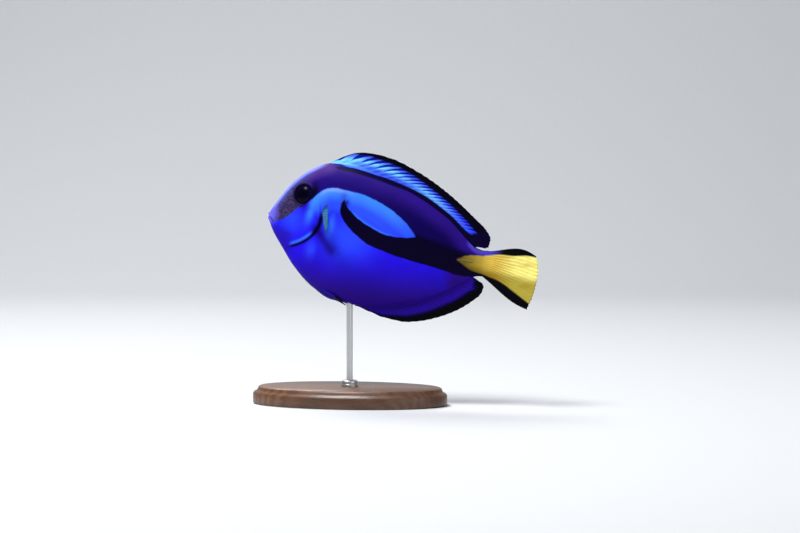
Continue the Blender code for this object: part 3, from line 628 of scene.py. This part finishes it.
# Fins
finGrid = {"columns": 12, "rows": 44, "sink": 2, "raySharpness": 1.6}
dorsal = {
    "rays": 28, "spines": 8, "front": 26.2, "rear": 106, "edge": "topLine", "up": 1,
    "spacing": [(0, 0), (0.3, 0.37), (0.6, 0.68), (1, 1)],  # the rays stand closer towards the tail
    "margin": [(26.4, 33.1), (29.4, 35.3), (32.9, 37.8), (39, 40.7), (47.5, 42.1), (56, 41.7), (71.5, 38),
               (88.2, 31.2), (105.6, 21.2), (112.2, 16.8), (115, 12.8), (114.8, 9.3), (113.2, 8.1)],
    "lean": [(0, 0), (0.03, 0.08), (0.07, 0.15), (0.13, 0.195), (0.25, 0.2), (0.45, 0.16), (0.7, 0.1),
             (0.88, 0.05), (1, 0)],
    # by s: the black edge's width, the dark root's height, how bright the blue is low and high, how far it frays
    "black": [(20, 0), (29, 0.1), (33, 0.2), (37, 0.6), (41, 1.2), (47, 2), (55, 2.7), (70, 3), (80, 3.6),
              (98, 3.9), (108, 4.8), (120, 5.6)],
    "root": [(20, -1), (48, -0.4), (54, 0.4), (60, 0.9), (70, 1.5), (80, 2), (96, 1.8), (101, 2.2),
             (104, 2.9), (107, 5), (110, 9), (120, 14)],
    "low": [(20, 0.95), (34, 0.8), (42, 0.3), (52, 0.12), (66, 0.1), (76, 0.25), (86, 0.3), (97, 0.1), (120, 0)],
    "high": [(20, 1), (36, 1), (44, 0.9), (60, 0.9), (70, 0.5), (80, 0.7), (90, 0.35), (98, 0.12), (120, 0)],
    "whole": [(20, 0.35), (33, 0.3), (42, 0), (60, 0), (84, 0.18), (120, 0.2)],
    "colours": {"dim": "#2b30ea", "glowing": "#7fd8fc", "betweenLow": "#1c4cf0", "betweenHigh": "#0e0f8a",
                "edge": "#030110", "root": "#070226"},
    "raggedGrain": 450.0,
}
anal = {
    "rays": 21, "spines": 3, "front": 53.2, "rear": 107.5, "edge": "bottomLine", "up": -1,
    "spacing": [(0, 0), (1, 1)],
    "margin": [(53.5, -35.1), (61.7, -36.3), (70, -37.5), (78.5, -37.4), (87, -35.4), (96.5, -31.2),
               (105.4, -25.5), (112, -19.4), (116.1, -13.8), (116.5, -11), (115.4, -9.1), (113.2, -8.5)],
    "lean": [(0, 0), (0.2, 0.13), (0.5, 0.12), (0.85, 0.06), (1, 0)],
    # the black edge's width by s, and the share of it that stays by h
    "black": [(50, 0), (63, 0.1), (67, 0.6), (71, 1.3), (75.5, 2.2), (84, 3.2), (92, 4), (100, 4.7), (120, 4.7)],
    "thin": [(-50, 1), (-15, 1), (-11, 0.6), (-9, 0.4), (0, 0.4)],
    "colours": {"low": "#22087e", "high": "#290e9c", "nearEdge": "#0b0250", "between": "#10033f",
                "edge": "#030308", "rim": "#24409c"},
}
caudal = {
    "rays": 16, "rootPlace": 114, "rootHalf": 6.35, "rootShift": 0.7, "bulge": 1.6, "inward": 0.1,
    "margin": [(138.6, 9.8), (140.6, 5.9), (141.9, 0.4), (142, -4.6), (141.7, -10.4), (140.9, -14),
               (140.5, -16.6)],
    "topBow": 2.9, "lowBow": -1.6, "bowSkew": 1.5, "twist": 2.2, "notch": 0.3,
    "flesh": 3.1, "sheet": 0.6, "thinning": 2.4, "rayHeight": 0.3, "faintGrain": 180.0,
}
pectoral = {
    "rays": 14, "rootTop": (30.2, 7.2), "rootLow": (32.2, 3), "notch": 0.35,
    "longest": 22.5, "shortest": 11, "highest": math.radians(20), "lowest": math.radians(-18),
    "sweep": math.radians(12.5), "cup": 1,
    "colours": {"foot": "#1c38c8", "leading": "#0d3a62", "middle": "#437e9c", "trailing": "#174a80",
                "between": "#1d4f8a"},
}
pelvic = {
    "rays": 4, "rootFront": 32.5, "rootRear": 36, "length": 17, "depth": 4.2, "tuck": 3.4,
    "colours": {"blade": "#220c90", "tip": "#04030c", "between": "#0c0638"},
}


def makeFin(name, fin, surface, thickness, marks, material, slot, node):  # a ribbed sheet of its real thickness
    bm = bmesh.new()
    columns = (fin["rays"] - 1) * finGrid["columns"]
    bmesh.ops.create_grid(bm, x_segments=columns, y_segments=finGrid["rows"], size=1)
    mesh = meshFrom(name, bm)
    flat = getCo(mesh)
    u, v = (flat[:, 0] + 1) / 2, (flat[:, 1] + 1) / 2
    phase = u * (fin["rays"] - 1)
    ray = (0.5 + 0.5 * np.cos(2 * math.pi * phase)) ** finGrid["raySharpness"]
    co = surface(u, v, ray)
    thick = thickness(u, v, ray, co)
    setCo(mesh, co)
    setAttributes(mesh, {"along": u, "out": v, "phase": phase, **marks(co[:, 0], co[:, 2])})
    sheet = addObject(name, mesh)
    group = sheet.vertex_groups.new(name="thickness")
    most = float(thick.max())
    for index, value in enumerate(thick / most):
        group.add([index], float(value), "REPLACE")
    shell = sheet.modifiers.new("thickness", "SOLIDIFY")
    shell.thickness = most
    shell.offset = 0
    shell.vertex_group = group.name
    shelled = bpy.data.meshes.new_from_object(sheet.evaluated_get(bpy.context.evaluated_depsgraph_get()))
    bpy.data.objects.remove(sheet)
    shelled.transform(fishPose)
    addPiece(name, shelled, material, slot, node)


def noMarks(*ignored):
    return {}


def dorsalMarks(s, rise, reach):  # how bright the blue is, where the root is dark, and how far the blue frays
    high = ease(0.25, 0.6, reach)
    glow = smoothTable(dorsal["low"], s) * (1 - high) + smoothTable(dorsal["high"], s) * high
    return {"glow": glow * (1 - 0.85 * ease(0.55, 0.95, reach)),
            "root": rise - smoothTable(dorsal["root"], s),
            "fray": 1.28 * reach - smoothTable(dorsal["whole"], s)}


def makeMedianFin(name, fin, ownMarks, material, node):
    spineShare = fin["spines"] / (fin["rays"] - 1)
    marginPath = evenPath(fin["margin"], 90)

    def aboveRidge(s, h):  # distance outwards from the line of the back or the belly
        slope = alongBody(fin["edge"], s + 0.5) - alongBody(fin["edge"], s - 0.5)
        return fin["up"] * (h - alongBody(fin["edge"], s)) / np.sqrt(1 + slope**2)

    def surface(u, v, ray):
        share = smoothTable(fin["spacing"], u)
        s = fin["front"] + (fin["rear"] - fin["front"]) * share
        foot = np.stack((s, alongBody(fin["edge"], s) - fin["up"] * finGrid["sink"]), axis=-1)
        tip = pathPoints(fin["margin"], np.clip(share + smoothTable(fin["lean"], share), 0, 1))
        run = tip - foot
        notch = 0.28 + np.where(u < spineShare, 0.35, 0.2) * (1 - ray)
        run *= (1 - notch / np.linalg.norm(run, axis=1))[:, None]
        bend = np.stack((-run[:, 1], run[:, 0]), axis=-1) * (0.07 * np.sin(math.pi * v))[:, None]
        spot = foot + run * v[:, None] + bend
        return np.stack((spot[:, 0], np.zeros(len(s)), spot[:, 1]), axis=-1)

    def thickness(u, v, ray, co):
        rise = aboveRidge(co[:, 0], co[:, 2])
        ridge = np.where(u < spineShare, 0.65, 0.4) * (1 - 0.75 * v) * ray * ease(0.2, 1.6, rise)
        return 0.8 - 0.4 * v + ridge + 0.7 * ease(1.2, -0.4, rise)

    def marks(s, h):
        rise = aboveRidge(s, h)
        edge = np.abs(pathDistance(marginPath, s, h))
        black = smoothTable(fin["black"], s)
        if "thin" in fin:
            black = black * smoothTable(fin["thin"], h)
        height = np.clip(rise, 0, None)
        reach = height / (height + np.clip(edge - black, 0.01, None))
        return {"edge": edge, "margin": edge - black, "reach": reach, **ownMarks(s, rise, reach)}

    makeFin(name, fin, surface, thickness, marks, material, "fin", node)


def membrane(name, *wanted):
    # Wet membrane over bony rays: smooth and supple, with a low sheen and a fine grain
    material, add, place = newMaterial(name, Roughness=0.42, IOR=1.38, Specular_IOR_Level=0.05)
    grain = add("TexNoise", place, 3000.0, 2.0)
    setShader(material, Normal=add("Bump", 0.4, 0.00003, None, grain))
    marks = [add("Attribute", attribute_name=mark, out=number) for mark in wanted]
    return material, add, place, marks


def betweenRays(add, phase, waves=1, middle=0.5):  # 0 on a ray and 1 midway to the next one
    wave = add("Math", phase, 2 * math.pi * waves, operation="MULTIPLY")
    wave = add("Math", wave, operation="COSINE")
    return add("Math", wave, -0.5, middle, operation="MULTIPLY_ADD")


def dorsalMembrane():
    c = dorsal["colours"]
    wanted = ("phase", "margin", "reach", "glow", "root", "fray")
    material, add, place, marks = membrane("dorsalMembrane", *wanted)
    phase, margin, reach, glow, root, fray = marks
    bright = add("Mix", glow, c["dim"], c["glowing"], **rgba)
    outer = add("MapRange", reach, 0.3, 0.9, **soft)
    dark = add("Mix", outer, c["betweenLow"], c["betweenHigh"], **rgba)
    ragged = add("TexNoise", place, dorsal["raggedGrain"], 3.0)
    ragged = add("MapRange", ragged, 0.3, 0.7, -0.15, 0.15)
    between = add("Math", fray, betweenRays(add, phase, middle=ragged), operation="ADD")
    between = add("MapRange", between, 0.8, 1.05, **soft)
    colour = add("Mix", between, bright, dark, **rgba)
    edge = add("Math", ragged, 1.5, margin, operation="MULTIPLY_ADD")
    edge = add("MapRange", edge, 0.5, -0.5, **soft)
    colour = add("Mix", edge, colour, c["edge"], **rgba)
    foot = add("MapRange", root, 0.4, -0.3, **soft)
    return setShader(material, Base_Color=add("Mix", foot, colour, c["root"], **rgba))


def analMembrane():
    c = anal["colours"]
    material, add, place, marks = membrane("analMembrane", "along", "phase", "edge", "margin", "reach")
    along, phase, edge, margin, reach = marks
    streak = add("Math", reach, 0.9, betweenRays(add, phase, 2), operation="MULTIPLY_ADD")
    streak = add("MapRange", streak, 0.9, 1.6, 0.0, 0.75)
    outer = add("MapRange", reach, 0.2, 0.7, **soft)
    colour = add("Mix", outer, c["low"], c["high"], **rgba)
    nearEdge = add("MapRange", margin, 1.4, 0.2, **soft)
    colour = add("Mix", nearEdge, colour, c["nearEdge"], **rgba)
    colour = add("Mix", streak, colour, c["between"], **rgba)
    black = add("MapRange", margin, 0.6, -0.6, **soft)
    colour = add("Mix", black, colour, c["edge"], **rgba)
    rear = add("MapRange", along, 0.85, 0.95, **soft)
    rim = add("MapRange", edge, 0.3, 0.1, **soft)
    rim = add("Math", rim, rear, operation="MULTIPLY")
    return setShader(material, Base_Color=add("Mix", rim, colour, c["rim"], **rgba))


def tailMembrane():
    c = tailColours
    material, add, place, marks = membrane("tailMembrane", "phase", "place", "yellow", "stem", "low")
    phase, along, yellow, stem, low = marks
    streak = add("MapRange", betweenRays(add, phase), 0.35, 0.95, 0.0, 0.42, **soft)
    faint = add("TexNoise", place, caudal["faintGrain"], 2.0)
    faint = add("MapRange", faint, 0.4, 0.65, 0.3, 1.0)
    streak = add("Math", streak, faint, operation="MULTIPLY")
    gold = add("Mix", streak, tailGold(add, along, low, place), c["smudge"], **rgba)
    margin = add("Mix", stem, c["edge"], skinColours["stem"], **rgba)
    inside = add("MapRange", yellow, -0.5, 0.4, **soft)
    return setShader(material, Base_Color=add("Mix", inside, margin, gold, **rgba))


def pectoralMembrane():
    c = pectoral["colours"]
    material, add, place, marks = membrane("pectoralMembrane", "along", "out", "phase")
    along, out, phase = marks
    behindFirst = add("MapRange", along, 0.02, 0.2, **soft)
    colour = add("Mix", behindFirst, c["leading"], c["middle"], **rgba)
    trailing = add("MapRange", along, 0.6, 1.0, **soft)
    colour = add("Mix", trailing, colour, c["trailing"], **rgba)
    blade = add("MapRange", out, 0.1, 0.35, **soft)
    colour = add("Mix", blade, c["foot"], colour, **rgba)
    between = add("MapRange", betweenRays(add, phase), 0.3, 1.0, 0.0, 0.4)
    return setShader(material, Base_Color=add("Mix", between, colour, c["between"], **rgba))


def pelvicMembrane():
    c = pelvic["colours"]
    material, add, place, marks = membrane("pelvicMembrane", "out", "phase")
    out, phase = marks
    tip = add("MapRange", out, 0.6, 0.75, **soft)
    colour = add("Mix", tip, c["blade"], c["tip"], **rgba)
    between = add("MapRange", betweenRays(add, phase), 0.3, 1.0, 0.0, 0.5)
    return setShader(material, Base_Color=add("Mix", between, colour, c["between"], **rgba))


def makeTailFin():
    heights = np.linspace(1, -1, 25)
    rootLine = np.column_stack((caudal["rootPlace"] + caudal["bulge"] * (1 - heights**2),
                                caudal["rootShift"] + heights * caudal["rootHalf"]))

    def surface(u, v, ray):
        reach = v * (1 + caudal["inward"]) - caudal["inward"]
        across = 1 - 2 * u
        foot = pathPoints(rootLine, u)
        run = pathPoints(caudal["margin"], u) - foot
        run *= (1 - caudal["notch"] * (1 - ray) / np.linalg.norm(run, axis=1))[:, None]
        bow = np.where(across > 0, caudal["topBow"], caudal["lowBow"]) * np.abs(across) ** 3
        spot = foot + run * reach[:, None]
        spot[:, 1] += bow * np.sin(math.pi * np.clip(reach, 0, 1) ** caudal["bowSkew"])
        return np.stack((spot[:, 0], caudal["twist"] * across * np.clip(reach, 0, 1) ** 2, spot[:, 1]), axis=-1)

    def thickness(u, v, ray, co):
        flesh = caudal["flesh"] * (1 - 0.8 * (1 - 2 * u) ** 2)
        thinned = 1 - (1 - v) ** caudal["thinning"]
        sheet = (flesh + (caudal["sheet"] - flesh) * thinned) * (0.72 + 0.28 * ease(0, 0.11, v))
        ridge = caudal["rayHeight"] * np.sin(math.pi * np.minimum(v + 0.12, 1)) * ray * ease(0.06, 0.25, v)
        return sheet - 0.2 * v + ridge

    def marks(s, h):
        return {"place": s, "yellow": insideDistance(yellowOutline, s, h),
                "stem": ease(123, 116, s) * ease(0, 2, h), "low": ease(0, -4.5, h)}

    makeFin("tailFin", caudal, surface, thickness, marks, tailMembrane(), "tail_fin", "tail_fin")


def makePectoral(name, side, material, node):
    rootTop, rootLow = np.array(pectoral["rootTop"]), np.array(pectoral["rootLow"])

    def surface(u, v, ray):
        foot = rootTop + (rootLow - rootTop) * u[:, None]
        lift = pectoral["highest"] + (pectoral["lowest"] - pectoral["highest"]) * u
        length = pectoral["longest"] + (pectoral["shortest"] - pectoral["longest"]) * u**1.4
        length = length * (1 - 0.12 * (1 - u) ** 6) - pectoral["notch"] * (1 - ray)
        sink = finGrid["sink"]
        out = bodyHalfWidth(foot[:, 0], foot[:, 1]) - sink + (length + sink) * v * np.cos(lift)
        back = out * math.tan(pectoral["sweep"]) * v + pectoral["cup"] * v**2 * np.sin(math.pi * u)
        return np.stack((foot[:, 0] + back, side * out, foot[:, 1] + length * v * np.sin(lift)), axis=-1)

    def thickness(u, v, ray, co):
        firstRay = 0.25 * (1 - u) ** 4 * (1 - v)
        return 0.75 - 0.4 * v + 0.32 * (1 - 0.7 * v) * ray + firstRay + 0.8 * ease(0.2, 0.05, v)

    makeFin(name, pectoral, surface, thickness, noMarks, material, "fin", node)


def makePelvic(name, side, material, node):
    def surface(u, v, ray):
        s = pelvic["rootFront"] + (pelvic["rootRear"] - pelvic["rootFront"]) * u
        s = s + pelvic["length"] * (1 - 0.35 * u) * v
        belly = alongBody("bottomLine", s)
        blade = pelvic["depth"] * 0.5 * u * np.sin(math.pi * v * 0.8)
        h = belly + pelvic["tuck"] * (1 - v) + blade - 0.9 * v
        width = bodyHalfWidth(s, np.maximum(h, belly + 0.4))
        out = width - 1.2 * (1 - v) ** 3 + (0.75 + 1.1 * u * v) * np.minimum(v * 6, 1)
        return np.stack((s, side * out, h), axis=-1)

    def thickness(u, v, ray, co):
        return 0.7 - 0.3 * v + 0.25 * (1 - v) * ray

    makeFin(name, pelvic, surface, thickness, noMarks, material, "fin", node)


print("fins")
makeMedianFin("dorsalFin", dorsal, dorsalMarks, dorsalMembrane(), "dorsal_fin")
makeMedianFin("analFin", anal, noMarks, analMembrane(), "anal_fin")
makeTailFin()
pectoralMaterial = pectoralMembrane()
makePectoral("pectoralFinLeft", -1, pectoralMaterial, "pectoral_fin_left")
makePectoral("pectoralFinRight", 1, pectoralMaterial, "pectoral_fin_right")
pelvicMaterial = pelvicMembrane()
makePelvic("pelvicFinLeft", -1, pelvicMaterial, "pelvic_fin_left")
makePelvic("pelvicFinRight", 1, pelvicMaterial, "pelvic_fin_right")

# Tail spines
spine = {
    "s": 105.6, "h": 0.2, "length": 7, "height": 1.3, "thickness": 1.2, "proud": 0.35, "point": 0.55,
    "horn": "#7a6c2a", "stain": "#5e5420",
}


def spineHorn():
    # Bare horn of the folded blade: smooth and dull, stained yellow like the skin round it
    material, add, place = newMaterial("spineHorn", Roughness=0.45, IOR=1.54, Specular_IOR_Level=0.15)
    drawnOut = add("Mapping", place, None, None, (0.15, 1, 1))
    streak = add("MapRange", add("TexNoise", drawnOut, 2600.0, 3.0), 0.35, 0.7)
    colour = add("Mix", streak, spine["horn"], spine["stain"], **rgba)
    return setShader(material, Base_Color=colour)


def makeSpine(name, side, material):
    surface, normal = (Vector(part) for part in surfaceFrame(spine["s"], spine["h"], side))
    centre = surface + normal * (spine["proud"] - spine["thickness"] / 2)
    along = (Vector((1, 0, 0)) - normal * normal.x).normalized()
    across = normal.cross(along)
    bm = bmesh.new()
    bmesh.ops.create_uvsphere(bm, u_segments=40, v_segments=24, radius=1)
    for vert in bm.verts:
        x, y, z = vert.co
        taper = 1 - spine["point"] * max(-x, 0) ** 2
        vert.co = (centre + along * x * spine["length"] / 2 + across * y * spine["height"] / 2 * taper
                   + normal * z * spine["thickness"] / 2)
    mesh = meshFrom(name, bm)
    mesh.transform(fishPose)
    addPiece(name + "_horn", mesh, material, "tail_spine", name)


print("tail spines")
hornMaterial = spineHorn()
makeSpine("tail_spine_left", -1, hornMaterial)
makeSpine("tail_spine_right", 1, hornMaterial)

# Stand
stand = {
    "baseSegments": 160, "rodSegments": 64, "collarSegments": 96, "baseWidth": 62, "baseLength": 100,
    # profiles of radius and height
    "base": [(0, 0), (49.2, 0), (50, 0.8), (50, 5.2), (49.4, 6.1), (48.2, 6.6), (47.6, 7.4), (47.2, 8.5),
             (46.2, 9), (0, 9)],
    "rod": [(0, 4.5), (1.6, 4.5), (1.6, 51.4), (0, 51.4)],
    "collar": [(1.6, 9.05), (4.2, 9.05), (4.2, 10), (3.9, 10.3), (3.9, 10.7), (4.2, 11), (3.9, 11.9),
               (3.1, 12.3), (1.6, 12.3), (1.6, 9.05)],
    "sharpAngle": math.radians(40),
    "wood": "#5b3a24", "woodPale": "#7c5233", "woodDark": "#492c1b", "pore": "#2c190f",
    "steel": "#b9babd", "steelPale": "#d6d6d4",
}


def spunMesh(name, profile, segments):  # a profile turned round the upright axis
    bm = bmesh.new()
    verts = [bm.verts.new((radius * mm, 0, height * mm)) for radius, height in profile]
    edges = [bm.edges.new(pair) for pair in zip(verts[:-1], verts[1:])]
    bmesh.ops.spin(bm, geom=verts + edges, cent=(0, 0, 0), axis=(0, 0, 1), angle=2 * math.pi, steps=segments,
                   use_merge=True)
    bmesh.ops.remove_doubles(bm, verts=bm.verts, dist=1e-7)
    bmesh.ops.recalc_face_normals(bm, faces=bm.faces)
    return meshFrom(name, bm)


def walnut():
    # Oiled walnut, planed and sanded: brown heartwood with long darker pores along the board
    material, add, place = newMaterial("walnut", Roughness=0.42, IOR=1.5, Coat_Weight=0.2, Coat_Roughness=0.25)
    board = add("Mapping", place, None, None, (0.08, 1, 1))
    rings = add("TexWave", board, 108.0, 7.0, 3.0, out=1, bands_direction="Y")
    drift = add("MapRange", add("TexNoise", board, 60.0, 2.0), 0.35, 0.7)
    pores = add("Mapping", place, None, None, (0.03, 1, 1))
    pores = add("TexNoise", pores, 2200.0, 3.0)
    pores = add("MapRange", pores, 0.55, 0.75, **soft)
    wood = add("Mix", rings, stand["wood"], stand["woodPale"], **rgba)
    wood = add("Mix", drift, wood, stand["woodDark"], **rgba)
    wood = add("Mix", pores, wood, stand["pore"], **rgba)
    return setShader(material, Base_Color=wood, Normal=add("Bump", 0.6, -0.00006, None, pores))


def brushedSteel():
    # Stainless steel turned and brushed round the axis: fine lines that spread the highlight
    material, add, place = newMaterial("brushedSteel", Roughness=0.28, Metallic=1.0)
    around = add("Mapping", place, None, None, (0.03, 0.03, 1))
    lines = add("TexNoise", around, 9000.0, 2.0)
    colour = add("Mix", lines, stand["steel"], stand["steelPale"], **rgba)
    return setShader(material, Base_Color=colour, Normal=add("Bump", 0.5, 0.00002, None, lines))


def makeStand():
    steel = brushedSteel()
    base = spunMesh("standBase", stand["base"], stand["baseSegments"])
    base.transform(Matrix.Diagonal((1, stand["baseWidth"] / stand["baseLength"], 1, 1)))
    rod = spunMesh("standRod", stand["rod"], stand["rodSegments"])
    collar = spunMesh("standCollar", stand["collar"], stand["collarSegments"])
    pieces = (
        addPiece("standBase", base, walnut(), "stand_base", "stand_base"),
        addPiece("standRod", rod, steel, "stand_metal", "stand_rod"),
        addPiece("standCollar", collar, steel, "stand_metal", "stand_collar"),
    )
    for piece in pieces:
        piece.data.set_sharp_from_angle(angle=stand["sharpAngle"])


print("stand")
makeStand()

# Studio
studio = {
    "azimuth": math.radians(15), "elevation": math.radians(3), "lens": 150, "frameWidth": 400 * mm,
    "aim": (26.2 * mm, 0, 69.7 * mm),
    # name, azimuth, elevation, distance, size, power, colour
    "lights": [("keyLight", -32, 64, 1.2, 0.55, 19, "#ffffff"), ("fillLight", 60, 12, 2.0, 2.0, 9, "#f2f6ff"),
               ("rimLight", -140, 50, 1.2, 0.6, 8, "#ffffff")],
    "world": "#eef2f8", "worldStrength": 0.3,
    "paper": "#c4c7ca", "paperFibre": "#ced0d2",
    "floorFront": -3, "floorBack": 0.9, "wallRadius": 0.5, "wallTop": 3, "floorWidth": 8,
}


def paperFloor():
    # Matt seamless paper
    material, add, place = newMaterial("paperFloor", Roughness=0.85)
    fibre = add("TexNoise", place, 900.0, 4.0)
    colour = add("Mix", fibre, studio["paper"], studio["paperFibre"], **rgba)
    return setShader(material, Base_Color=colour)


def makeFloor():  # paper that turns up behind the stand
    bm = bmesh.new()
    radius, start, width = studio["wallRadius"], studio["floorBack"], studio["floorWidth"]
    bend = np.linspace(0.08, math.pi / 2, 20)
    curve = [(start + radius * math.sin(a), radius - radius * math.cos(a)) for a in bend]
    sweep = [(studio["floorFront"], 0), (start, 0), *curve, (start + radius, studio["wallTop"])]
    verts = [bm.verts.new((-width / 2, y, z)) for y, z in sweep]
    edges = [bm.edges.new(pair) for pair in zip(verts[:-1], verts[1:])]
    made = bmesh.ops.extrude_edge_only(bm, edges=edges)
    moved = [item for item in made["geom"] if isinstance(item, bmesh.types.BMVert)]
    bmesh.ops.translate(bm, vec=(width, 0, 0), verts=moved)
    bmesh.ops.recalc_face_normals(bm, faces=bm.faces)
    mesh = meshFrom("floor", bm)
    mesh.transform(Matrix.Rotation(studio["azimuth"], 4, "Z"))
    for face in mesh.polygons:
        face.use_smooth = True
    floor = addObject("floor", mesh)
    mesh.materials.append(paperFloor())


def direction(azimuth, elevation):
    return Vector((math.sin(azimuth) * math.cos(elevation), -math.cos(azimuth) * math.cos(elevation),
                   math.sin(elevation)))


def addLight(name, azimuth, elevation, distance, size, power, colour):
    data = bpy.data.lights.new(name, "AREA")
    data.shape = "DISK"
    data.size = size
    data.energy = power
    data.color = linear(colour)[:3]
    light = addObject(name, data)
    toLight = direction(math.radians(azimuth), math.radians(elevation))
    light.location = Vector(studio["aim"]) + toLight * distance
    light.rotation_euler = toLight.to_track_quat("Z", "Y").to_euler()


def addCamera():
    data = bpy.data.cameras.new("camera")
    data.lens = studio["lens"]
    data.sensor_width = 36
    data.clip_start = 0.01
    camera = addObject("camera", data)
    toCamera = direction(studio["azimuth"], studio["elevation"])
    camera.location = Vector(studio["aim"]) + toCamera * studio["frameWidth"] * studio["lens"] / data.sensor_width
    camera.rotation_euler = toCamera.to_track_quat("Z", "Y").to_euler()
    bpy.context.scene.camera = camera


def makeStudio():
    makeFloor()
    for settings in studio["lights"]:
        addLight(*settings)
    world = bpy.data.worlds.new("studioLight")
    world.use_nodes = True
    background = world.node_tree.nodes["Background"]
    background.inputs["Color"].default_value = linear(studio["world"])
    background.inputs["Strength"].default_value = studio["worldStrength"]
    bpy.context.scene.world = world
    bpy.context.scene.view_settings.view_transform = "Standard"
    addCamera()


print("studio")
makeStudio()

bpy.context.view_layer.update()
